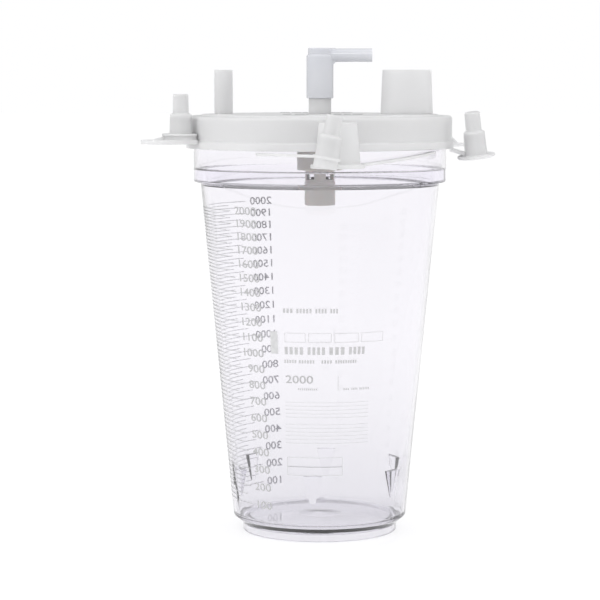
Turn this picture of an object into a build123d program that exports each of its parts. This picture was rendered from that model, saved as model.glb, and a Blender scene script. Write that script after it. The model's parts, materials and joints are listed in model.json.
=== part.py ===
from build123d import *
import os
from math import cos, radians, sin

# Disposable suction canister: a clear tapered jar with a clip-over lid, hose ports,
# a swivelling elbow, a float shut-off valve and tethered caps.
# Millimetres, +Z up, origin on the axis at the foot's underside. The numerals on the
# jar face -Y, the pour spout is on the +X side and the patient port on the -X side.

# ---- jar -------------------------------------------------------------------
BASE_R = 51.6            # outer radius of the jar wall at its lower corner
BASE_Z = 9.3             # height of that corner
FOOT_INSET = 5.6         # the foot ring stands in from that corner
FOOT_WALL = 2.2
FOOT_H = 4.5             # height of the foot ring up to the slope
FOOT_CORNER = 1.2        # rounding between the foot ring and the slope
FOOT_COVE = 1.5          # slope inside the foot ring, up to the floor
BASE_CORNER = 1.4        # rounding of the wall's lower corner
COLLAR_Z = 208.6         # underside of the collar
COLLAR_R = 74.8          # outer radius of the collar
COLLAR_H = 37.2
COLLAR_STEP = 4.0        # from the top of the wall out to the collar
JAR_WALL = 2.0
FLOOR_T = 2.0
FLOOR_RISE = 0.2         # the floor's top stands this far above the wall's lower corner
FLOOR_CORNER = 2.4       # rounding where the inside of the wall meets the floor
LEDGE_H = 7.6            # the ledge inside the collar stands this far above its underside
LEDGE_STEP = 1.4         # how far the ledge stands in from the wall
LEDGE_FOOT = 1.0         # the ledge's face ends this far above the collar's underside
LEDGE_RUNOUT = 2.0       # and slopes back into the wall this far below it
RIM_BEAD = 0.6           # bead round the rim that the lid snaps over
RIM_BEAD_H = 3.4
DIMPLE_R = 12.6          # shallow dome in the middle of the floor
DIMPLE_H = 0.9
COLLAR_CORNER = 0.9      # rounding under the collar
EDGE_R = 0.5             # rounding of free moulded edges
FINE_R = 0.4             # rounding of thin edges
CORNER_R = 0.8           # rounding of moulded inner corners

LUG_COUNT = 6            # stacking lugs round the inside of the wall
LUG_FIRST_DEG = -95.0
LUG_TOP_Z = 40.0
LUG_H = 16.0
LUG_W = 11.0
LUG_DEPTH = 3.2
LUG_TIP = 0.3            # share of the width and depth left at a lug's lower tip

# ---- lid -------------------------------------------------------------------
LID_T = 1.8              # plate thickness
RIM_T = 1.6              # thickness over the jar's rim
PLATEAU_INSET = 8.7      # the raised middle ends this far in from the skirt
PLATEAU_STEP = 0.9
SKIRT_WALL = 1.9
SKIRT_ROOM = 1.0         # between the rim bead and the skirt
SKIRT_BELOW_RIM = 17.3   # the skirt reaches this far below the jar's rim
SKIRT_BEAD = 0.9
SKIRT_BEAD_H = 4.0
SKIRT_CORNER = 1.8
PLUG_GAP = 0.4           # between the jar's collar and the lid's sealing wall
PLUG_WALL = 2.6
PLUG_DEPTH = 12.0
SNAP_GAP = 0.3           # between the rim bead and the lid's snap ridge
SNAP_RIDGE_H = 1.6

PORT_TOP = 26.1          # every port stands this far above the plateau
PATIENT_R = 5.5
PATIENT_WALL = 1.3
PATIENT_DEG = 168.2
PATIENT_INSET = 10.9     # from the plateau's edge in to the port's axis
VACUUM_R = 6.65
VACUUM_WALL = 1.75
SPOUT_BORE_R = 12.8
SPOUT_TOP_WALL = 1.6
SPOUT_BASE_WALL = 2.7
SPOUT_INSET = 18.2       # from the plateau's edge in to the spout's axis

PULL_TAB_DEG = 20.0      # fixed pull tab, at the back right
PULL_TAB_REACH = 21.7    # beyond the skirt
PULL_TAB_W = 18.0
PULL_TAB_T = 1.8
PULL_TAB_RIB_H = 7.4
PULL_TAB_RIB_REACH = 12.0
PULL_TAB_RIB_ROUND = 2.0
RIB_W = 2.4

# ---- elbow -----------------------------------------------------------------
ELBOW_WALL = 1.23
ELBOW_RUN_GAP = 0.07     # radial running clearance on the vacuum port
ELBOW_BOTTOM = 9.3       # the sleeve's mouth stands this far above the plateau
ELBOW_H = 29.6
ELBOW_SHOULDER = 4.6     # the sleeve narrows over this height at its top
ELBOW_NARROW = 0.9
ELBOW_STOP_GAP = 0.4     # between the vacuum port's end and the stop in the sleeve
NIPPLE_R = 3.96
NIPPLE_BORE_R = 2.4
NIPPLE_REACH = 30.9      # from the elbow's axis to the nipple's end
ELBOW_ROOF = 1.8
ROOT_STEP = 0.3          # the nipple's root is this much larger in radius
ROOT_REACH = 1.2         # and ends this far out from the sleeve

# ---- float valve under the vacuum port -------------------------------------
SOCKET_R = 11.9          # socket ring moulded under the lid
SOCKET_WALL = 1.5
SOCKET_H = 14.6
PUSH_GAP = 0.1           # radial gap of pushed-together valve pieces
HEAD_WALL = 1.5
HEAD_LAP = 7.0           # how far the valve head reaches up the socket
HEAD_H = 23.7
HEAD_FLOOR = 1.8
HEAD_LEDGE = 1.2         # inner ledge that carries the filter
FILTER_T = 6.8
FILTER_GAP = 0.1
SEAT_BORE_R = 4.0
CAGE_WALL = 2.1
CAGE_H = 6.6
CAGE_WINDOWS = 4
WINDOW_W = 6.4
WINDOW_H = 4.4
SPIGOT_WALL = 1.2
SPIGOT_H = 4.2
CUP_WALL = 1.2
CUP_H = 14.2
CUP_FLOOR = 1.5
CUP_DRAIN_R = 2.3
FLOAT_R = 6.0
FLOAT_GAP = 0.6          # between the float and its cage
FLOAT_TRAVEL = 4.1       # from the cup's floor until the seal meets the seat
SEAL_LAP = 1.3           # how far the seal laps over the seat's edge
SEAL_T = 1.2

# ---- tethered caps ---------------------------------------------------------
HINGE_GAP = 0.3          # between the lid and what hangs on a living hinge
CAP_PORT_GAP = 0.05      # the cap's bore over the patient port
CAP_WALL = 0.6           # at the top of the cap's body
CAP_DRAFT = 0.45         # the body is this much larger in radius at its foot
CAP_BODY_H = 13.1
CAP_DISC_LIP = 4.8       # how far the finger disc stands out from the cap's body
CAP_DISC_T = 1.6
CAP_TIP_R = 4.4
CAP_TIP_H = 11.3         # from the body's top to the cap's end
CAP_TIP_DRAFT = 0.25     # the tip is this much larger in radius at its foot
CAP_TIP_WALL = 1.1
CAP_TAPER = 1.2          # the body narrows to the tip over this height
CAP_ROOF = 1.8           # the bore ends this far below the taper
LEFT_CAP_DEG = 200.2
LEFT_CAP_GAP = 0.1       # between the hinges' circle and the left cap's foot
LEFT_TAB_RISE = 3.0      # the finger tab's underside stands above the skirt's foot
LEFT_TAB_T = 2.4
LEFT_TAB_W = 22.0
LEFT_TAB_REACH = 31.7    # beyond the skirt
LEFT_PAD_H = 2.0
LEFT_PAD_LIP = 4.4       # how far the pad stands out from the cap's body
LEFT_RIB_REACH = 9.0     # the tab's rib runs this far beyond the cap's disc
LEFT_RIB_ROUND = 4.0
RIGHT_CAP_DEG = -15.8
RIGHT_CAP_OUT = 16.3     # from the skirt out to the right cap's axis
RIGHT_CAP_DROP = 4.9     # its disc hangs this far below the skirt's foot
RIGHT_CAP_BODY_H = 15.4
RIGHT_CAP_LEAN = 5.0     # degrees towards the lid
RIGHT_CAP_ROLL = 7.0     # degrees, the disc's -Y edge lower
STRAP_W = 9.0
STRAP_T = 1.8
STRAP_DROP = 1.5         # the strap's underside leaves this far below the skirt's foot

SPOUT_CAP_DEG = -84.4
SPOUT_CAP_GAP = 1.9      # between the skirt's bead and the plug's foot
SPOUT_CAP_DROP = 8.6     # its flange hangs this far below the skirt's foot
SPOUT_CAP_LIP = 2.6      # how far the flange stands out from the plug
SPOUT_CAP_FLANGE_T = 2.2
SPOUT_PLUG_GAP = 0.2     # the plug's foot in the pour spout's bore
SPOUT_PLUG_H = 23.0
SPOUT_PLUG_TAPER = 2.0   # the plug is this much smaller in radius at its end
SPOUT_PLUG_WALL = 1.5
FRONT_CAP_DEG = -88.8
FRONT_CAP_GAP = 3.0      # between the spout cap's flange and the front cap's foot
FRONT_CAP_DROP = 2.8     # its ring hangs this far below the skirt's foot
FRONT_CAP_LEAN = 11.0    # degrees towards +X
FRONT_CAP_RING_LIP = 1.0 # how far its ring stands out from its body's foot
FRONT_CAP_SKIRT_H = 4.8  # how far it reaches below its ring
TETHER_W = 4.2
TETHER_T = 1.5
TETHER_INSET = 0.7       # the straps' roots lie this far in from the skirt, under it
SPOUT_TETHER_DEG = -34.5
SPOUT_TETHER_BOW = 5.0   # how far the strap bows out from its own chord
FRONT_STRAP_DEG = -116.5
FRONT_STRAP_BOW = 1.0
TETHER_BITE = 1.6        # how far a strap's end runs into the disc's edge before it is trimmed

THROUGH = 1.0            # cutting solids run this far past the faces that they cut

# ---- places worked out from the sizes above --------------------------------
FOOT_R = BASE_R - FOOT_INSET
FLOOR_Z = BASE_Z + FLOOR_RISE
FLOOR_LOW_Z = FLOOR_Z - FLOOR_T
NECK_R = COLLAR_R - COLLAR_STEP
RIM_Z = COLLAR_Z + COLLAR_H
SKIRT_R = COLLAR_R + RIM_BEAD + SKIRT_ROOM + SKIRT_WALL
PLATEAU_R = SKIRT_R - PLATEAU_INSET
LEDGE_Z = COLLAR_Z + LEDGE_H
RIM_TOP_Z = RIM_Z + RIM_T
PLATEAU_Z = RIM_TOP_Z + PLATEAU_STEP
PLATE_Z = PLATEAU_Z - LID_T
SKIRT_Z = RIM_Z - SKIRT_BELOW_RIM
BEAD_R = SKIRT_R + SKIRT_BEAD
SOCKET_Z = PLATE_Z - SOCKET_H
HEAD_Z = SOCKET_Z + HEAD_LAP - HEAD_H
HEAD_R = SOCKET_R + PUSH_GAP + HEAD_WALL
CAGE_Z = HEAD_Z - CAGE_H
CAGE_BORE_R = FLOAT_R + FLOAT_GAP
CAGE_R = CAGE_BORE_R + CAGE_WALL
SPIGOT_R = CAGE_BORE_R + SPIGOT_WALL
CUP_R = SPIGOT_R + PUSH_GAP + CUP_WALL
CUP_Z = CAGE_Z - CUP_H
FLOAT_Z = CUP_Z + CUP_FLOOR
FLOAT_H = HEAD_Z - FLOAT_TRAVEL - SEAL_T - FLOAT_Z
SEAL_R = SEAT_BORE_R + SEAL_LAP

PATIENT_BORE_R = PATIENT_R - PATIENT_WALL
VACUUM_BORE_R = VACUUM_R - VACUUM_WALL
ELBOW_R = VACUUM_R + ELBOW_RUN_GAP + ELBOW_WALL

HINGE_R = BEAD_R + HINGE_GAP
CAP_BORE_R = PATIENT_R + CAP_PORT_GAP
CAP_BODY_R = CAP_BORE_R + CAP_WALL
CAP_FOOT_R = CAP_BODY_R + CAP_DRAFT
CAP_DISC_R = CAP_BODY_R + CAP_DISC_LIP
CAP_H = CAP_BODY_H + CAP_TIP_H
LEFT_CAP_AT = HINGE_R + LEFT_CAP_GAP + CAP_FOOT_R
LEFT_TAB_Z = SKIRT_Z + LEFT_TAB_RISE
RIGHT_CAP_AT = SKIRT_R + RIGHT_CAP_OUT
RIGHT_CAP_Z = SKIRT_Z - RIGHT_CAP_DROP
STRAP_ROOT_Z = SKIRT_Z - STRAP_DROP
PLUG_R = SPOUT_BORE_R - SPOUT_PLUG_GAP
SPOUT_CAP_FLANGE_R = PLUG_R + SPOUT_CAP_LIP
SPOUT_CAP_Z = SKIRT_Z - SPOUT_CAP_DROP
SPOUT_CAP_AT = BEAD_R + SPOUT_CAP_GAP + PLUG_R
FRONT_RING_R = CAP_FOOT_R + FRONT_CAP_RING_LIP
FRONT_CAP_Z = SKIRT_Z - FRONT_CAP_DROP
FRONT_CAP_AT = SPOUT_CAP_AT + SPOUT_CAP_FLANGE_R + FRONT_CAP_GAP + CAP_FOOT_R
TETHER_R = SKIRT_R - TETHER_INSET
TETHER_ROOT_Z = SKIRT_Z - HINGE_GAP - TETHER_T

UPRIGHT = (Align.CENTER, Align.CENTER, Align.MIN)


def on_circle(radius, degrees):
    """X and Y of a point on a circle about the Z axis."""
    return (radius * cos(radians(degrees)), radius * sin(radians(degrees)))


PATIENT_XY = on_circle(PLATEAU_R - PATIENT_INSET, PATIENT_DEG)
SPOUT_XY = (PLATEAU_R - SPOUT_INSET, 0.0)
SPOUT_CAP_XY = on_circle(SPOUT_CAP_AT, SPOUT_CAP_DEG)
FRONT_CAP_XY = on_circle(FRONT_CAP_AT, FRONT_CAP_DEG)


def outline(*corners):
    """A closed outline in the XZ plane; a third number in a corner rounds it."""
    face = make_face(Polyline(*[corner[:2] for corner in corners], close=True))
    for corner in corners:
        if len(corner) == 3:
            point = Vector(corner[0], corner[1], 0)
            nearest = face.vertices().sort_by_distance(point)[0]
            face = fillet(nearest, corner[2])
    return Plane.XZ * face


def turned(*corners):
    """A solid of revolution about Z from an outline of (radius, height) corners."""
    return revolve(outline(*corners), Axis.Z)


def post(radius, low, high, at=(0, 0)):
    """An upright cylinder between two heights."""
    return Pos(at[0], at[1], low) * Cylinder(radius, high - low, align=UPRIGHT)


def tube(outer, inner, low, high, at=(0, 0)):
    """An upright tube between two heights."""
    return post(outer, low, high, at) - post(inner, low - THROUGH, high + THROUGH, at)


def around(radius, degrees, z=0):
    """A place on a circle about the Z axis, with local X pointing outwards."""
    return Pos(*on_circle(radius, degrees), z) * Rot(0, 0, degrees)


def jar_inner_r(z):
    """Inner radius of the tapered wall at a height."""
    slope = (NECK_R - BASE_R) / (COLLAR_Z - BASE_Z)
    return BASE_R - JAR_WALL + slope * (z - BASE_Z)


def canister():
    """The clear jar: foot ring, tapered wall, collar, rim bead and stacking lugs."""
    collar_in = COLLAR_R - JAR_WALL
    bead_r = COLLAR_R + RIM_BEAD
    foot_in = FOOT_R - FOOT_WALL
    ledge_in = NECK_R - JAR_WALL - LEDGE_STEP
    runout_z = COLLAR_Z - LEDGE_RUNOUT
    jar = turned(
        (0, FLOOR_LOW_Z + DIMPLE_H),
        (DIMPLE_R, FLOOR_LOW_Z),
        (foot_in - FOOT_COVE, FLOOR_LOW_Z),
        (foot_in, FLOOR_LOW_Z - FOOT_COVE),
        (foot_in, 0, EDGE_R),
        (FOOT_R, 0, EDGE_R),
        (FOOT_R, FOOT_H, FOOT_CORNER),
        (BASE_R, BASE_Z, BASE_CORNER),
        (NECK_R, COLLAR_Z),
        (COLLAR_R, COLLAR_Z, COLLAR_CORNER),
        (COLLAR_R, RIM_Z - RIM_BEAD_H),
        (bead_r, RIM_Z - RIM_BEAD_H + RIM_BEAD),
        (bead_r, RIM_Z, EDGE_R),
        (collar_in, RIM_Z, EDGE_R),
        (collar_in, LEDGE_Z, CORNER_R),
        (ledge_in, LEDGE_Z, EDGE_R),
        (ledge_in, COLLAR_Z + LEDGE_FOOT),
        (jar_inner_r(runout_z), runout_z),
        (jar_inner_r(FLOOR_Z), FLOOR_Z, FLOOR_CORNER),
        (DIMPLE_R, FLOOR_Z),
        (0, FLOOR_Z + DIMPLE_H),
    )
    for index in range(LUG_COUNT):
        jar += stacking_lug(LUG_FIRST_DEG + index * 360 / LUG_COUNT)
    return jar


def stacking_lug(degrees):
    """A wedge that tapers downwards into the wall, with a flat top for the next jar's foot."""
    bury = JAR_WALL / 2
    top_at = around(jar_inner_r(LUG_TOP_Z), degrees, LUG_TOP_Z)
    low_z = LUG_TOP_Z - LUG_H
    low_at = around(jar_inner_r(low_z), degrees, low_z)

    def section(place, share):
        depth = LUG_DEPTH * share + bury
        middle = bury - depth / 2
        return place * Pos(middle, 0, 0) * Rectangle(depth, LUG_W * share)

    return loft([section(top_at, 1), section(low_at, LUG_TIP)])


def lid():
    """The clip-over lid: plate, rim channel, skirt, valve socket and pull tab."""
    snap_r = COLLAR_R + RIM_BEAD + SNAP_GAP
    skirt_in = SKIRT_R - SKIRT_WALL
    plug_out = COLLAR_R - JAR_WALL - PLUG_GAP
    ridge_z = RIM_Z - RIM_BEAD_H - SNAP_RIDGE_H
    shell = turned(
        (0, PLATE_Z),
        (SOCKET_R - SOCKET_WALL, PLATE_Z),
        (SOCKET_R - SOCKET_WALL, SOCKET_Z),
        (SOCKET_R, SOCKET_Z),
        (SOCKET_R, PLATE_Z),
        (plug_out - PLUG_WALL, PLATE_Z, CORNER_R),
        (plug_out - PLUG_WALL, RIM_Z - PLUG_DEPTH, EDGE_R),
        (plug_out, RIM_Z - PLUG_DEPTH, EDGE_R),
        (plug_out, RIM_Z),
        (skirt_in, RIM_Z),
        (skirt_in, ridge_z + SNAP_RIDGE_H),
        (snap_r, ridge_z + SNAP_RIDGE_H / 2),
        (skirt_in, ridge_z),
        (skirt_in, SKIRT_Z, EDGE_R),
        (BEAD_R, SKIRT_Z, EDGE_R),
        (BEAD_R, SKIRT_Z + SKIRT_BEAD_H, FINE_R),
        (SKIRT_R, SKIRT_Z + SKIRT_BEAD_H + SKIRT_BEAD),
        (SKIRT_R, RIM_TOP_Z, SKIRT_CORNER),
        (PLATEAU_R + PLATEAU_STEP, RIM_TOP_Z, CORNER_R),
        (PLATEAU_R, PLATEAU_Z, EDGE_R),
        (0, PLATEAU_Z),
    )
    holes = ((VACUUM_BORE_R, (0, 0)), (PATIENT_BORE_R, PATIENT_XY), (SPOUT_BORE_R, SPOUT_XY))
    for radius, at in holes:
        shell -= post(radius, PLATE_Z - THROUGH, PLATEAU_Z + THROUGH, at)
    return shell + pull_tab()


def finger_plate(root, reach, width, thickness):
    """A flat tab along local X with a round end, its underside at z = 0."""
    straight = reach - width / 2
    body = Pos((root + straight) / 2, 0, 0) * Rectangle(straight - root, width)
    return extrude(body + Pos(straight, 0, 0) * Circle(width / 2), thickness)


def rib(width, *corners):
    """A flat rib in the local XZ plane, centred on local Y."""
    return extrude(outline(*corners), width / 2, both=True)


def pull_tab():
    """The fixed tab at the skirt's foot, stiffened by one rib."""
    root = SKIRT_R - SKIRT_WALL / 2
    plate = finger_plate(root, SKIRT_R + PULL_TAB_REACH, PULL_TAB_W, PULL_TAB_T)
    rib_top = PULL_TAB_T + PULL_TAB_RIB_H
    stiffener = rib(
        RIB_W,
        (root, PULL_TAB_T / 2),
        (root, rib_top),
        (SKIRT_R + PULL_TAB_RIB_REACH / 3, rib_top - 1, PULL_TAB_RIB_ROUND),
        (SKIRT_R + PULL_TAB_RIB_REACH, PULL_TAB_T / 2),
    )
    return around(0, PULL_TAB_DEG, SKIRT_Z) * (plate + stiffener)


def patient_port():
    """The tube that the patient hose is pushed on."""
    port = tube(PATIENT_R, PATIENT_BORE_R, PLATEAU_Z, PLATEAU_Z + PORT_TOP, PATIENT_XY)
    return fillet(port.edges().sort_by(Axis.Z)[-2:], FINE_R)


def vacuum_port():
    """The central tube that the elbow turns on."""
    return tube(VACUUM_R, VACUUM_BORE_R, PLATEAU_Z, PLATEAU_Z + PORT_TOP)


def pour_spout():
    """The wide drafted spout that the canister is emptied through."""
    top = PLATEAU_Z + PORT_TOP
    wall = turned(
        (SPOUT_BORE_R, PLATEAU_Z),
        (SPOUT_BORE_R + SPOUT_BASE_WALL, PLATEAU_Z),
        (SPOUT_BORE_R + SPOUT_TOP_WALL, top, FINE_R),
        (SPOUT_BORE_R, top),
    )
    return Pos(*SPOUT_XY) * wall


def elbow():
    """A right-angled hose nipple on a sleeve that swivels on the vacuum port."""
    low = PLATEAU_Z + ELBOW_BOTTOM
    high = low + ELBOW_H
    stop_z = PLATEAU_Z + PORT_TOP + ELBOW_STOP_GAP
    shoulder_z = high - ELBOW_SHOULDER
    sleeve = turned(
        (0, low),
        (ELBOW_R, low, EDGE_R),
        (ELBOW_R, shoulder_z, CORNER_R),
        (ELBOW_R - ELBOW_NARROW, shoulder_z + ELBOW_NARROW),
        (ELBOW_R - ELBOW_NARROW, high, EDGE_R),
        (0, high),
    )
    root_r = NIPPLE_R + ROOT_STEP
    root_end = ELBOW_R + ROOT_REACH
    axis_z = high - root_r
    under = axis_z - root_r
    lying = Pos(0, 0, axis_z) * Rot(0, 90, 0)
    gusset = rib(
        1.5 * NIPPLE_R,
        (0, axis_z),
        (root_end, axis_z),
        (root_end, under),
        (ELBOW_R, under - ROOT_REACH),
        (0, under - ROOT_REACH),
    )
    nipple = Cylinder(NIPPLE_R, NIPPLE_REACH, align=UPRIGHT)
    root = Cylinder(root_r, root_end, align=UPRIGHT)
    bore = Cylinder(NIPPLE_BORE_R, NIPPLE_REACH + THROUGH, align=UPRIGHT)
    solid = sleeve + lying * nipple + lying * root + gusset
    solid -= post(VACUUM_R + ELBOW_RUN_GAP, low - THROUGH, stop_z)
    solid -= post(VACUUM_BORE_R, stop_z - THROUGH, high - ELBOW_ROOF)
    return solid - lying * bore


def valve_head():
    """The wide valve body under the lid, with the windowed float cage below it."""
    top = HEAD_Z + HEAD_H
    filter_z = SOCKET_Z - FILTER_GAP - FILTER_T
    socket_bore = SOCKET_R + PUSH_GAP
    head = turned(
        (SEAT_BORE_R, HEAD_Z),
        (CAGE_BORE_R, HEAD_Z),
        (CAGE_BORE_R, CAGE_Z - SPIGOT_H),
        (SPIGOT_R, CAGE_Z - SPIGOT_H, FINE_R),
        (SPIGOT_R, CAGE_Z),
        (CAGE_R, CAGE_Z),
        (CAGE_R, HEAD_Z, EDGE_R),
        (HEAD_R, HEAD_Z, EDGE_R),
        (HEAD_R, top, EDGE_R),
        (socket_bore, top),
        (socket_bore, filter_z),
        (socket_bore - HEAD_LEDGE, filter_z),
        (socket_bore - HEAD_LEDGE, HEAD_Z + HEAD_FLOOR),
        (SEAT_BORE_R, HEAD_Z + HEAD_FLOOR),
    )
    for index in range(CAGE_WINDOWS):
        place = around(CAGE_R, (index + 0.5) * 360 / CAGE_WINDOWS, CAGE_Z + CAGE_H / 2)
        head -= place * Box(2 * CAGE_WALL + THROUGH, WINDOW_W, WINDOW_H)
    return head


def aerosol_filter():
    """The porous disc held between the valve head's ledge and the lid's socket."""
    high = SOCKET_Z - FILTER_GAP
    return post(SOCKET_R - PUSH_GAP, high - FILTER_T, high)


def valve_cup():
    """The cup pushed over the cage's spigot; it holds the float and drains at its foot."""
    return turned(
        (CUP_DRAIN_R, CUP_Z),
        (CUP_R, CUP_Z, CORNER_R),
        (CUP_R, CUP_Z + CUP_H, EDGE_R),
        (SPIGOT_R + PUSH_GAP, CUP_Z + CUP_H),
        (SPIGOT_R + PUSH_GAP, CUP_Z + CUP_FLOOR),
        (CUP_DRAIN_R, CUP_Z + CUP_FLOOR),
    )


def valve_float():
    """The float: it lifts with the liquid and carries the seal to the seat."""
    return turned(
        (0, FLOAT_Z),
        (FLOAT_R, FLOAT_Z, CORNER_R),
        (FLOAT_R, FLOAT_Z + FLOAT_H, EDGE_R),
        (0, FLOAT_Z + FLOAT_H),
    )


def float_seal():
    """The soft disc on the float that closes the seat."""
    low = FLOAT_Z + FLOAT_H
    return turned((0, low), (SEAL_R, low), (SEAL_R, low + SEAL_T, FINE_R), (0, low + SEAL_T))


def thimble_cap(disc_r, body_h):
    """A stepped push-over cap standing on its disc, mouth down, at the origin."""
    taper_z = body_h - CAP_TAPER / 2
    roof_z = taper_z - CAP_ROOF
    top = body_h + CAP_TIP_H
    tip_bore_r = CAP_TIP_R - CAP_TIP_WALL
    return turned(
        (CAP_BORE_R, 0),
        (disc_r, 0, FINE_R),
        (disc_r, CAP_DISC_T, FINE_R),
        (CAP_FOOT_R, CAP_DISC_T),
        (CAP_BODY_R, taper_z),
        (CAP_TIP_R + CAP_TIP_DRAFT, taper_z + CAP_TAPER),
        (CAP_TIP_R, top, CORNER_R),
        (0, top),
        (0, top - CAP_TIP_WALL),
        (tip_bore_r, top - CAP_TIP_WALL),
        (tip_bore_r, roof_z + (CAP_BORE_R - tip_bore_r) / 2),
        (CAP_BORE_R, roof_z),
    )


def skirt_clearance():
    """What hangs on a living hinge stays outside this cylinder."""
    return post(HINGE_R, SKIRT_Z - CAP_H, RIM_TOP_Z + CAP_H)


def left_cap():
    """The cap beside the patient port; its disc is trimmed where it meets the skirt."""
    seat_z = LEFT_TAB_Z + LEFT_TAB_T + LEFT_PAD_H
    cap = around(LEFT_CAP_AT, LEFT_CAP_DEG, seat_z) * thimble_cap(CAP_DISC_R, CAP_BODY_H)
    return cap - skirt_clearance()


def left_cap_tab():
    """The finger tab and pad that carry the left cap out from the skirt."""
    plate = finger_plate(HINGE_R, SKIRT_R + LEFT_TAB_REACH, LEFT_TAB_W, LEFT_TAB_T)
    pad_top = LEFT_TAB_T + LEFT_PAD_H
    pad_at = (LEFT_CAP_AT, 0)
    plate += post(CAP_BODY_R + LEFT_PAD_LIP, LEFT_TAB_T / 2, pad_top, pad_at)
    outboard = LEFT_CAP_AT + CAP_DISC_R
    plate += rib(
        RIB_W,
        (LEFT_CAP_AT, LEFT_TAB_T / 2),
        (LEFT_CAP_AT, pad_top),
        (outboard - EDGE_R, pad_top, EDGE_R),
        (outboard + LEFT_RIB_REACH / 2, LEFT_TAB_T + LEFT_PAD_H / 3, LEFT_RIB_ROUND),
        (outboard + LEFT_RIB_REACH, LEFT_TAB_T / 2),
    )
    plate -= post(CAP_BORE_R, -THROUGH, pad_top + THROUGH, pad_at)
    return around(0, LEFT_CAP_DEG, LEFT_TAB_Z) * plate - skirt_clearance()


def right_cap_frame():
    """Where the right cap's disc lies: out from the skirt and leaning towards it."""
    return around(RIGHT_CAP_AT, RIGHT_CAP_DEG, RIGHT_CAP_Z) * Rot(RIGHT_CAP_ROLL, -RIGHT_CAP_LEAN, 0)


def right_cap():
    """The cap hanging on its strap at the right."""
    return right_cap_frame() * thimble_cap(CAP_DISC_R, RIGHT_CAP_BODY_H)


def right_cap_strap():
    """The strap from the skirt's foot out over the right cap's disc to its body."""
    end_z = RIGHT_CAP_Z - CAP_DISC_T / 2
    band = rib(
        STRAP_W,
        (HINGE_R, STRAP_ROOT_Z),
        (HINGE_R, STRAP_ROOT_Z + STRAP_T),
        (RIGHT_CAP_AT, end_z + STRAP_T),
        (RIGHT_CAP_AT, end_z),
    )
    cap_space = post(CAP_DISC_R, -CAP_H, CAP_DISC_T) + post(CAP_FOOT_R, 0, CAP_H)
    return around(0, RIGHT_CAP_DEG) * band - right_cap_frame() * cap_space


def spout_cap_frame():
    """Where the spout cap's flange lies."""
    return Pos(*SPOUT_CAP_XY, SPOUT_CAP_Z)


def spout_cap():
    """The plug for the pour spout: a hollow plug standing on a flange."""
    top = SPOUT_CAP_FLANGE_T + SPOUT_PLUG_H
    plug = turned(
        (0, 0),
        (SPOUT_CAP_FLANGE_R, 0, EDGE_R),
        (SPOUT_CAP_FLANGE_R, SPOUT_CAP_FLANGE_T, EDGE_R),
        (PLUG_R, SPOUT_CAP_FLANGE_T, CORNER_R),
        (PLUG_R - SPOUT_PLUG_TAPER, top, EDGE_R),
        (PLUG_R - SPOUT_PLUG_TAPER - SPOUT_PLUG_WALL, top, EDGE_R),
        (PLUG_R - SPOUT_PLUG_WALL, SPOUT_CAP_FLANGE_T),
        (0, SPOUT_CAP_FLANGE_T),
    )
    return spout_cap_frame() * plug


def front_cap_frame():
    """Where the front cap's ring lies: in front of the spout cap and leaning over."""
    return Pos(*FRONT_CAP_XY, FRONT_CAP_Z) * Rot(0, FRONT_CAP_LEAN, 0)


def front_cap():
    """The cap in front: a narrow ring instead of a disc, and a skirt below the ring."""
    skirt = tube(CAP_FOOT_R, CAP_BORE_R, -FRONT_CAP_SKIRT_H, 0)
    return front_cap_frame() * (thimble_cap(FRONT_RING_R, CAP_BODY_H) + skirt)


def tether(root_deg, frame, disc_r, disc_t, bow):
    """A flat strap from under the skirt to the nearest edge of a disc that lies in a frame."""
    root = Vector(*on_circle(TETHER_R, root_deg), TETHER_ROOT_Z)
    seen = (frame.inverse() * Pos(root)).position
    inwards = Vector(seen.X, seen.Y).normalized() * (disc_r - TETHER_BITE)
    along = (frame * Pos(inwards.X, inwards.Y, disc_t / 2)).position - root
    upwards = along.cross(Vector(0, 0, 1).cross(along))
    line = ThreePointArc((0, 0), (along.length / 2, bow), (along.length, 0))
    flat = trace(line, TETHER_W) + Circle(TETHER_W / 2)
    strap = extrude(Plane(root, x_dir=along, z_dir=upwards) * flat, TETHER_T / 2, both=True)
    return strap - frame * post(disc_r, -TETHER_W, TETHER_W)


def spout_tether():
    """The strap that the spout cap swings on, from the skirt's right."""
    frame = spout_cap_frame()
    flange = (SPOUT_CAP_FLANGE_R, SPOUT_CAP_FLANGE_T)
    return tether(SPOUT_TETHER_DEG, frame, *flange, SPOUT_TETHER_BOW)


def front_cap_strap():
    """The strap that the front cap swings on, from the skirt's left."""
    ring = (FRONT_RING_R, CAP_DISC_T)
    return tether(FRONT_STRAP_DEG, front_cap_frame(), *ring, -FRONT_STRAP_BOW)


def main():
    builders = {
        "canister": canister,
        "lid": lid,
        "patient_port": patient_port,
        "vacuum_port": vacuum_port,
        "pour_spout": pour_spout,
        "elbow": elbow,
        "valve_head": valve_head,
        "aerosol_filter": aerosol_filter,
        "valve_cup": valve_cup,
        "valve_float": valve_float,
        "float_seal": float_seal,
        "left_cap": left_cap,
        "left_cap_tab": left_cap_tab,
        "right_cap": right_cap,
        "right_cap_strap": right_cap_strap,
        "spout_cap": spout_cap,
        "spout_tether": spout_tether,
        "front_cap": front_cap,
        "front_cap_strap": front_cap_strap,
    }
    os.makedirs("parts", exist_ok=True)
    for name, build in builders.items():
        export_step(build(), f"parts/{name}.step")


main()
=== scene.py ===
import json
from math import cos, pi, radians, sin, tau

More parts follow.
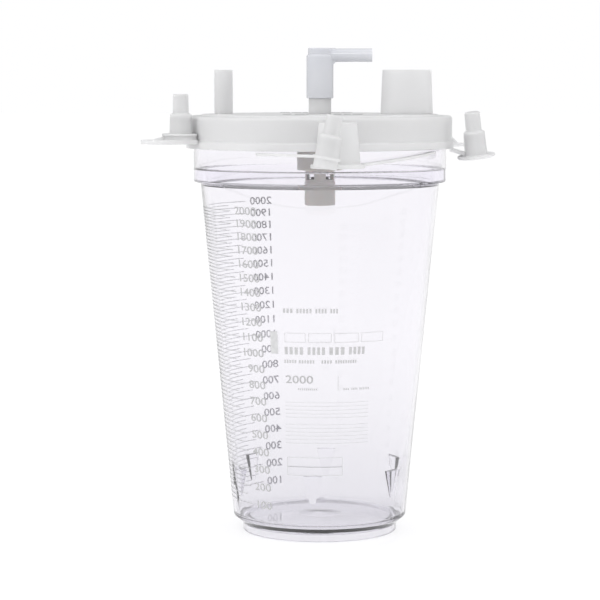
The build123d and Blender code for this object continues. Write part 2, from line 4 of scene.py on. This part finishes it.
import bpy
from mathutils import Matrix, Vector


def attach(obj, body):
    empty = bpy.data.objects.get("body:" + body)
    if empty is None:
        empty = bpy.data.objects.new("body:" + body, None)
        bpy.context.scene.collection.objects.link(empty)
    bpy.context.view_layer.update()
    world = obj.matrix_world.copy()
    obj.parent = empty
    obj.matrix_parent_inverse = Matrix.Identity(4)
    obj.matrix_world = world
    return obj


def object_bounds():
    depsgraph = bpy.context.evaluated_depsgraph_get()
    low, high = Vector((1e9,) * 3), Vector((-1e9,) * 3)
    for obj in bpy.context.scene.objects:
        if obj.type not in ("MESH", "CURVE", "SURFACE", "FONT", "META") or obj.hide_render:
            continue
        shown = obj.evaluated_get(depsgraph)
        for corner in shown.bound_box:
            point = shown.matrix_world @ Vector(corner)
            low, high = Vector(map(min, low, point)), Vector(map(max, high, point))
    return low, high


# Looks for the suction canister: plastics, the printed scale, the lid's marks,
# a white floor, soft light and the camera. Metres and degrees; the frame gives the places.

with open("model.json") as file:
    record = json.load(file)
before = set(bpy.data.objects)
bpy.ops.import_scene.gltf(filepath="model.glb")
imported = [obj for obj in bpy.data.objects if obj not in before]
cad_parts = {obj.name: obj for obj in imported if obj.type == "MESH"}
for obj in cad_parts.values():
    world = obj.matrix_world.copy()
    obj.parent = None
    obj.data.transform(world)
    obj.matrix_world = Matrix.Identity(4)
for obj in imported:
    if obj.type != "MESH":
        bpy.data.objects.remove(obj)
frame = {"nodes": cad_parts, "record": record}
cad_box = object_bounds()
nodes = frame["nodes"]
MM = 0.001

# ---- camera ----------------------------------------------------------------
CAMERA_AT = (-11.8 * MM, -1.366, 0.2709)
CAMERA_PITCH = 5.574        # degrees downwards
CAMERA_LENS = 137.9         # millimetres on a 36 mm sensor

# ---- light -----------------------------------------------------------------
ROOM_LIGHT = 0.86           # what the room lights matt faces with
ROOM_MIRRORED = 0.45        # what glossy faces mirror
FLOOR_SIZE = 30

# ---- printed scale ---------------------------------------------------------
INK_LIFT = 0.04 * MM        # ink stands off the wall by this much
INK_T = 0.04 * MM
SCALE_AZ = 176.8            # middle of the scale round the jar
SCALE_TOP_ML = 2000
SCALE_STEP_ML = 25
TICK_T = 0.34 * MM
TICK_HALF = {100: 44.8, 50: 40.2, 25: 31.0}   # degrees each side of the middle
NUMERAL_TO = 61.2           # numerals reach this many degrees from the middle
NUMERAL_H = 4.7 * MM
NUMERAL_WIDEN = 1.28        # the numerals' typeface is wide
NUMERAL_BOLD = 0.07 * MM    # and heavy: its outline stands out by this much

CAP_SHARE = 0.73            # a numeral's height is this share of its type size

# ---- printed block on the front, in millimetres from the front's middle -----
# each line: height, bar height, bar pitch, then (start, end) of each group along the wall
BLOCK = (
    (137.4, 2.6, 1.9, ((-22.0, -15.5), (-14.0, -4.5), (-3.0, 4.0), (5.5, 10.5))),
    (114.2, 4.4, 3.0, ((-21.0, -9.0), (-7.5, 3.5), (5.0, 15.0), (16.5, 27.0))),
    (107.9, 1.9, 1.5, ((-21.2, -13.5), (-12.5, -3.0), (0.5, 7.0), (8.5, 21.5))),
    (91.8, 1.2, 1.1, ((-13.0, -1.5), (13.2, 17.0), (18.0, 22.0), (23.0, 29.5))),
)
BAR_SHARE = 0.62            # of each bar's pitch; the rest is the gap
# thin outlined frames: left, right, low, high
OUTLINES = (
    (-21.0, -9.0, 119.2, 124.4),
    (-7.0, 6.0, 119.2, 124.4),
    (8.0, 22.0, 119.2, 124.4),
    (24.0, 38.0, 119.2, 124.4),
    (-19.5, 12.6, 41.0, 46.0),
    (-19.5, 12.6, 46.0, 51.5),
)
OUTLINE_T = 0.3
RULES = ((84.0, 75.0, -20.6, 28.6), (71.0, 59.0, -20.6, 28.6))   # high, low, left, right
RULE_STEP = 2.2
RULE_T = 0.22
# single bars: middle height, bar height, start, end
SIDE_BAR = (118.6, 13.1, -29.8, -25.2)
VOLUME_AT = (-20.6, 97.2)   # where the volume's numeral starts, and its middle height
DIVIDER = (95.2, 8.5, 10.0, 10.3)
BAR_STEP = 1.5 * MM         # bars on the wall are bent in steps of about this

# ---- plain blocks on the lid's top -----------------------------------------
# each row: its middle along Y, then (start, end) of each block along X
LID_ROWS = (
    (60, ((-24, -18), (-17, -11), (-10, -7), (7, 13), (13.5, 20.5))),
    (-12, ((-22, -17), (-15, -9), (-8.5, -6.5), (8, 12.5), (14, 18), (19, 25))),
)
LID_MARK_H = 6.0            # length of each block along Y


def level(ml):
    """Height of the scale's line for a volume: the jar widens, so the lines crowd upwards."""
    hundreds = ml / 100
    return (9.9 + 11.1 * hundreds - 0.0955 * hundreds ** 2) * MM


# ---- materials -------------------------------------------------------------
class Shader:
    """A new node material with its Principled shader, and short calls to wire it."""

    def __init__(self, name, **values):
        self.material = bpy.data.materials.new(name)
        self.material.use_nodes = True
        self.tree = self.material.node_tree
        self.nodes, self.links = self.tree.nodes, self.tree.links
        self.surface = self.nodes["Principled BSDF"]
        self.output = self.nodes["Material Output"]
        for socket, value in values.items():
            self.surface.inputs[socket.replace("_", " ")].default_value = value

    def add(self, kind, **inputs):
        node = self.nodes.new(kind)
        for socket, value in inputs.items():
            node.inputs[socket.replace("_", " ")].default_value = value
        return node

    def place(self):
        return self.add("ShaderNodeTexCoord").outputs["Object"]

    def noise(self, scale, detail=3.0, rough=0.5):
        node = self.add("ShaderNodeTexNoise", Scale=scale, Detail=detail, Roughness=rough)
        self.links.new(self.place(), node.inputs["Vector"])
        return node.outputs["Fac"]

    def height(self, low, high):
        """0 at one height and 1 at another, in metres above the foot."""
        axes = self.add("ShaderNodeSeparateXYZ")
        self.links.new(self.place(), axes.inputs["Vector"])
        node = self.add("ShaderNodeMapRange", From_Min=low, From_Max=high)
        self.links.new(axes.outputs["Z"], node.inputs["Value"])
        return node.outputs["Result"]

    def ramp(self, factor, *stops):
        """A colour ramp: each stop is (position, colour)."""
        node = self.add("ShaderNodeValToRGB")
        elements = node.color_ramp.elements
        while len(elements) < len(stops):
            elements.new(0.5)
        for element, (position, colour) in zip(elements, stops):
            element.position = position
            element.color = (*colour, 1.0)
        self.links.new(factor, node.inputs["Fac"])
        return node.outputs["Color"]

    def spread(self, factor, low, high):
        """Maps a 0 to 1 pattern to a range."""
        node = self.add("ShaderNodeMapRange", To_Min=low, To_Max=high)
        self.links.new(factor, node.inputs["Value"])
        return node.outputs["Result"]

    def set(self, socket, value):
        self.links.new(value, self.surface.inputs[socket])

    def bump(self, *layers):
        """Stacks bumps: each layer is (pattern, distance in metres)."""
        normal = None
        for pattern, distance in layers:
            node = self.add("ShaderNodeBump", Strength=1.0, Distance=distance)
            self.links.new(pattern, node.inputs["Height"])
            if normal:
                self.links.new(normal, node.inputs["Normal"])
            normal = node.outputs["Normal"]
        self.set("Normal", normal)

    def clear_to_lamps(self, tint):
        """Lets lamps shine through, as thin clear plastic does."""
        path = self.add("ShaderNodeLightPath")
        clear = self.add("ShaderNodeBsdfTransparent", Color=(*tint, 1.0))
        mix = self.add("ShaderNodeMixShader")
        self.links.new(path.outputs["Is Shadow Ray"], mix.inputs["Fac"])
        self.links.new(self.surface.outputs["BSDF"], mix.inputs[1])
        self.links.new(clear.outputs["BSDF"], mix.inputs[2])
        self.links.new(mix.outputs["Shader"], self.output.inputs["Surface"])


def clear_styrene():
    """Crystal polystyrene: clear, faintly violet, with painted shade greying it low down, rippled by
    the mould's flow.
    """
    s = Shader("clear_styrene", IOR=1.59, Transmission_Weight=1.0)
    # painted shade: the base colour greys towards the foot, standing in for the floor's shade seen
    # through the walls
    low, middle, high = (0.875, 0.87, 0.89), (0.925, 0.92, 0.935), (0.958, 0.952, 0.966)
    s.set("Base Color", s.ramp(s.height(20 * MM, 115 * MM), (0, low), (0.5, middle), (1, high)))
    s.set("Roughness", s.spread(s.noise(40), 0.0, 0.05))
    s.bump((s.noise(14, 1), 0.25 * MM), (s.noise(900, 2), 0.002 * MM))
    s.clear_to_lamps((0.96, 0.955, 0.975))
    absorb = s.add("ShaderNodeVolumeAbsorption", Color=(0.62, 0.52, 0.88, 1.0), Density=11.0)
    s.links.new(absorb.outputs["Volume"], s.output.inputs["Volume"])
    return s.material


def natural_polyethylene():
    """Natural polyethylene: milky, satin, light passes through softly."""
    s = Shader(
        "natural_polyethylene", IOR=1.51, Transmission_Weight=0.22, Subsurface_Weight=0.55,
        Subsurface_Radius=(1.0, 1.0, 1.0), Subsurface_Scale=5 * MM,
    )
    s.set("Base Color", s.ramp(s.noise(30), (0.3, (0.885, 0.885, 0.885)), (0.7, (0.915, 0.915, 0.92))))
    s.set("Roughness", s.spread(s.noise(120), 0.32, 0.46))
    s.bump((s.noise(55, 2), 0.10 * MM), (s.noise(1500, 3), 0.006 * MM))
    return s.material


def elbow_plastic():
    """The elbow: smooth, glossy, bluish grey."""
    s = Shader(
        "elbow_plastic", IOR=1.5, Coat_Weight=0.35, Coat_Roughness=0.06, Subsurface_Weight=0.25,
        Subsurface_Radius=(1.0, 1.0, 1.1), Subsurface_Scale=3 * MM,
    )
    s.set("Base Color", s.ramp(s.noise(45), (0.3, (0.65, 0.66, 0.70)), (0.7, (0.69, 0.70, 0.735))))
    s.set("Roughness", s.spread(s.noise(160), 0.14, 0.24))
    s.bump((s.noise(70, 2), 0.06 * MM), (s.noise(1800, 2), 0.002 * MM))
    return s.material


def valve_plastic():
    """The valve body: beige grey, satin."""
    s = Shader("valve_plastic", IOR=1.5, Subsurface_Weight=0.15, Subsurface_Scale=2 * MM)
    s.set("Base Color", s.ramp(s.noise(60), (0.3, (0.64, 0.615, 0.575)), (0.7, (0.69, 0.665, 0.625))))
    s.set("Roughness", s.spread(s.noise(200), 0.32, 0.48))
    s.bump((s.noise(90, 2), 0.08 * MM), (s.noise(1600, 3), 0.006 * MM))
    return s.material


def float_plastic():
    """The float: white foamed plastic, slightly pitted."""
    s = Shader("float_plastic", IOR=1.48)
    s.set("Base Color", s.ramp(s.noise(300), (0.3, (0.78, 0.78, 0.76)), (0.7, (0.86, 0.86, 0.85))))
    s.set("Roughness", s.spread(s.noise(400), 0.45, 0.6))
    s.bump((s.noise(700, 3), 0.03 * MM))
    return s.material


def seal_rubber():
    """The float's seal: soft dark rubber."""
    s = Shader("seal_rubber", IOR=1.52)
    s.set("Base Color", s.ramp(s.noise(250), (0.3, (0.045, 0.045, 0.048)), (0.7, (0.075, 0.075, 0.08))))
    s.set("Roughness", s.spread(s.noise(500), 0.6, 0.8))
    s.bump((s.noise(1200, 3), 0.02 * MM))
    return s.material


def filter_foam():
    """The porous filter: white, open-celled, with painted shade darkening its pits."""
    s = Shader("filter_foam", IOR=1.45, Roughness=0.95)
    cells = s.add("ShaderNodeTexVoronoi", Scale=1400)
    s.links.new(s.place(), cells.inputs["Vector"])
    pore_depth_and_shade = cells.outputs["Distance"]
    # painted shade: the pits of the pores, where the bump sinks, are coloured darker
    s.set("Base Color", s.ramp(pore_depth_and_shade, (0.1, (0.55, 0.55, 0.54)), (0.5, (0.86, 0.86, 0.85))))
    s.bump((pore_depth_and_shade, 0.2 * MM))
    return s.material


def ink(name, dark, light):
    """Screen-printed ink: matt, with the small thin spots of a worn screen."""
    s = Shader(name, IOR=1.45)
    s.set("Base Color", s.ramp(s.noise(500, 4), (0.35, dark), (0.65, light)))
    s.set("Roughness", s.spread(s.noise(800), 0.5, 0.75))
    s.bump((s.noise(2500, 2), 0.004 * MM))
    return s.material


def grey(value):
    return (value, value, value * 1.01)


# ---- what carries the materials --------------------------------------------
FINISHES = {
    "clear_styrene": clear_styrene,
    "natural_polyethylene": natural_polyethylene,
    "elbow_plastic": elbow_plastic,
    "valve_plastic": valve_plastic,
    "float_plastic": float_plastic,
    "seal_rubber": seal_rubber,
    "filter_foam": filter_foam,
}
materials = {slot: make() for slot, make in FINISHES.items()}
materials["scale_ink"] = ink("scale_ink", grey(0.47), grey(0.55))
materials["block_ink"] = ink("block_ink", grey(0.54), grey(0.62))
materials["fine_ink"] = ink("fine_ink", grey(0.62), grey(0.70))
materials["lid_ink"] = ink("lid_ink", grey(0.03), grey(0.07))

for part in frame["record"]["subparts"]:
    mesh = nodes[part["node"]].data
    mesh.materials.clear()
    mesh.materials.append(materials[part["material_slot"]])


# ---- places on the frame ---------------------------------------------------
def polar(radius, degrees, z):
    return Vector((radius * cos(radians(degrees)), radius * sin(radians(degrees)), z))


def wall_radius_at(z):
    """Outer radius of the jar at a height, found by looking in from outside."""
    outside = polar(1.0, 0, z)
    _, at, _, _ = nodes["canister"].ray_cast(outside, Vector((-1, 0, 0)))
    return at.x


LOW_Z, HIGH_Z = 30 * MM, 190 * MM
LOW_R, HIGH_R = wall_radius_at(LOW_Z), wall_radius_at(HIGH_Z)


def wall(z):
    """Outer radius of the tapered wall at a height."""
    return LOW_R + (HIGH_R - LOW_R) * (z - LOW_Z) / (HIGH_Z - LOW_Z)


def lid_top(x, y):
    """Height of the lid's upper face over a place."""
    _, at, _, _ = nodes["lid"].ray_cast(Vector((x, y, 1.0)), Vector((0, 0, -1)))
    return at.z


# ---- printing --------------------------------------------------------------
class Print:
    """Collects thin closed shapes of ink and makes one piece of them."""

    def __init__(self):
        self.points, self.faces = [], []

    def bar(self, place, width, height, steps):
        """A thin block; place(u, v, lift) gives a point of it, u along and v up, in metres."""
        first = len(self.points)
        for index in range(steps + 1):
            u = width * index / steps
            for v, lift in ((0, 0), (height, 0), (height, 1), (0, 1)):
                self.points.append(place(u, v, lift))
        for index in range(steps):
            a = first + 4 * index
            for side in range(4):
                b = (side + 1) % 4
                self.faces.append((a + side, a + b, a + 4 + b, a + 4 + side))
        end = first + 4 * steps
        self.faces.append((first + 3, first + 2, first + 1, first))
        self.faces.append((end, end + 1, end + 2, end + 3))

    def wall_bar(self, degrees, z, width, height):
        """A bar on the jar's wall, its middle height at z, running right from degrees."""
        steps = max(2, round(width / BAR_STEP))
        self.bar(on_wall(degrees, z - height / 2), width, height, steps)

    def numeral(self, text, height, place, right=False):
        """A text, its middle on the place; it ends there if right, else it starts there."""
        curve = bpy.data.curves.new("text", "FONT")
        curve.body = text
        curve.size = height / CAP_SHARE
        curve.align_x = "RIGHT" if right else "LEFT"
        curve.align_y = "CENTER"
        curve.resolution_u = 4
        curve.extrude = INK_T / 2
        curve.offset = NUMERAL_BOLD
        holder = bpy.data.objects.new("text", curve)
        mesh = bpy.data.meshes.new_from_object(holder)
        first = len(self.points)
        for vertex in mesh.vertices:
            u = vertex.co.x * NUMERAL_WIDEN
            self.points.append(place(u, vertex.co.y, vertex.co.z / INK_T + 0.5))
        for face in mesh.polygons:
            self.faces.append([first + index for index in face.vertices])
        bpy.data.objects.remove(holder)
        bpy.data.curves.remove(curve)
        bpy.data.meshes.remove(mesh)

    def piece(self, name, body, material):
        mesh = bpy.data.meshes.new(name)
        mesh.from_pydata(self.points, [], self.faces)
        mesh.materials.append(materials[material])
        mesh.validate()
        made = bpy.data.objects.new(name, mesh)
        bpy.context.scene.collection.objects.link(made)
        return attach(made, body)


def on_wall(degrees, z):
    """A place on the jar's wall: u runs to the right as read from outside, v upwards."""
    radius = wall(z)

    def place(u, v, lift):
        reach = wall(z + v) + INK_LIFT + INK_T * lift
        return polar(reach, degrees + 360 * u / (tau * radius), z + v)

    return place


def on_lid(x, y):
    """A place on the lid's top: u towards +X, v towards +Y."""
    top = lid_top(x, y)
    return lambda u, v, lift: Vector((x + u, y + v, top + INK_LIFT + INK_T * lift))


def scale_ticks():
    """Lines round the left of the jar: long at each 100 mL, shorter at 50 and at 25."""
    ticks = Print()
    for ml in range(100, SCALE_TOP_ML + 1, SCALE_STEP_ML):
        size = next(step for step in (100, 50, 25) if ml % step == 0)
        half, z = TICK_HALF[size], level(ml)
        width = radians(2 * half) * wall(z)
        ticks.wall_bar(SCALE_AZ - half, z, width, TICK_T)
    ticks.piece("scale_ticks", "canister", "scale_ink")


def scale_numerals():
    """The volumes in millilitres at both ends of the lines."""
    front, back = Print(), Print()
    for ml in range(100, SCALE_TOP_ML + 1, 100):
        z = level(ml)
        front.numeral(str(ml), NUMERAL_H, on_wall(SCALE_AZ + NUMERAL_TO, z), right=True)
        back.numeral(str(ml), NUMERAL_H, on_wall(SCALE_AZ - NUMERAL_TO, z))
    front.piece("scale_numerals_front", "canister", "scale_ink")
    back.piece("scale_numerals_back", "canister", "scale_ink")


def front_degrees(x, z):
    """Azimuth of a place on the wall, x millimetres to the right of the front's middle."""
    degrees_per_mm = 360 / (tau * wall(z * MM) / MM)
    return -90 + x * degrees_per_mm


def front_bar(block, z, height, start, end):
    """A bar on the front of the wall, in millimetres."""
    block.wall_bar(front_degrees(start, z), z * MM, (end - start) * MM, height * MM)


def front_print():
    """Plain bars and frames where the maker's wording stood."""
    block, fine = Print(), Print()
    for z, height, pitch, groups in BLOCK:
        for start, end in groups:
            count = round((end - start) / pitch)
            step = (end - start) / count
            for index in range(count):
                left = start + index * step
                front_bar(block, z, height, left, left + BAR_SHARE * step)
    for left, right, low, high in OUTLINES:
        for z in (low, high):
            front_bar(fine, z, OUTLINE_T, left, right)
        for x in (left, right):
            front_bar(fine, (low + high) / 2, high - low, x, x + OUTLINE_T)
    for high, low, left, right in RULES:
        for row in range(int((high - low) / RULE_STEP) + 1):
            front_bar(fine, high - row * RULE_STEP, RULE_T, left, right)
    front_bar(fine, *DIVIDER)
    front_bar(fine, *SIDE_BAR)
    block.piece("front_print", "canister", "block_ink")
    fine.piece("front_print_fine", "canister", "fine_ink")


def volume_numeral():
    """The jar's volume in millilitres."""
    x, z = VOLUME_AT
    volume = Print()
    volume.numeral(str(SCALE_TOP_ML), NUMERAL_H, on_wall(front_degrees(x, z), z * MM))
    volume.piece("volume_numeral", "canister", "scale_ink")


def lid_marks():
    """Two rows of plain blocks on the lid's top."""
    marks = Print()
    for y, blocks in LID_ROWS:
        for start, end in blocks:
            low = (y - LID_MARK_H / 2) * MM
            marks.bar(on_lid(start * MM, low), (end - start) * MM, LID_MARK_H * MM, 1)
    marks.piece("lid_marks", "lid", "lid_ink")


scale_ticks()
scale_numerals()
front_print()
volume_numeral()
lid_marks()


# ---- floor, light and camera -----------------------------------------------
def floor():
    """A plain white floor."""
    bpy.ops.mesh.primitive_plane_add(size=FLOOR_SIZE)
    plane = bpy.context.object
    plane.name = "floor"
    s = Shader(
        "floor_white", Roughness=0.25, Specular_IOR_Level=0.12, Base_Color=(0.45, 0.45, 0.45, 1.0),
        Emission_Color=(1.0, 1.0, 1.0, 1.0), Emission_Strength=0.58,
    )
    plane.data.materials.append(s.material)


def surroundings():
    """White to the eye and through clear walls; a dimmer room in light and reflections."""
    world = bpy.data.worlds.new("studio")
    bpy.context.scene.world = world
    world.use_nodes = True
    tree = world.node_tree
    link = tree.links.new
    path = tree.nodes.new("ShaderNodeLightPath").outputs

    def room(level):
        node = tree.nodes.new("ShaderNodeBackground")
        node.inputs["Color"].default_value = (level, level, level * 1.01, 1.0)
        return node.outputs["Background"]

    def choose(condition, otherwise, chosen):
        node = tree.nodes.new("ShaderNodeMixShader")
        link(condition, node.inputs["Fac"])
        link(otherwise, node.inputs[1])
        link(chosen, node.inputs[2])
        return node.outputs["Shader"]

    lit = choose(path["Is Glossy Ray"], room(ROOM_LIGHT), room(ROOM_MIRRORED))
    seen = choose(path["Is Transmission Ray"], lit, room(1.0))
    seen = choose(path["Is Camera Ray"], seen, room(1.0))
    link(seen, tree.nodes["World Output"].inputs["Surface"])


def softbox(name, at, size, power):
    """A soft square lamp aimed at the middle of the object, hidden from the eye."""
    lamp = bpy.data.lights.new(name, "AREA")
    lamp.size = size
    lamp.energy = power
    made = bpy.data.objects.new(name, lamp)
    bpy.context.scene.collection.objects.link(made)
    made.location = at
    middle = Vector((0, 0, (cad_box[0].z + cad_box[1].z) / 2))
    made.rotation_euler = (middle - Vector(at)).to_track_quat("-Z", "Y").to_euler()
    made.visible_camera = False
    made.visible_transmission = False


def daylight(strength, angle):
    """Even light from above, as soft as a wide window."""
    lamp = bpy.data.lights.new("daylight", "SUN")
    lamp.energy = strength
    lamp.angle = radians(angle)
    made = bpy.data.objects.new("daylight", lamp)
    bpy.context.scene.collection.objects.link(made)
    made.rotation_euler = (radians(12), radians(-8), 0)


def camera():
    lens = bpy.data.cameras.new("camera")
    lens.sensor_width = 36
    lens.lens = CAMERA_LENS
    lens.clip_end = 60
    made = bpy.data.objects.new("camera", lens)
    bpy.context.scene.collection.objects.link(made)
    made.location = CAMERA_AT
    made.rotation_euler = (pi / 2 - radians(CAMERA_PITCH), 0, 0)
    bpy.context.scene.camera = made


floor()
surroundings()
daylight(0.55, 70)
softbox("front", (0.12, -1.6, 1.25), 0.35, 2.2)
softbox("left", (-1.5, -0.5, 0.9), 0.7, 3.6)
softbox("right", (1.5, -0.1, 0.9), 0.7, 2.6)
camera()
bpy.context.scene.view_settings.view_transform = "Standard"
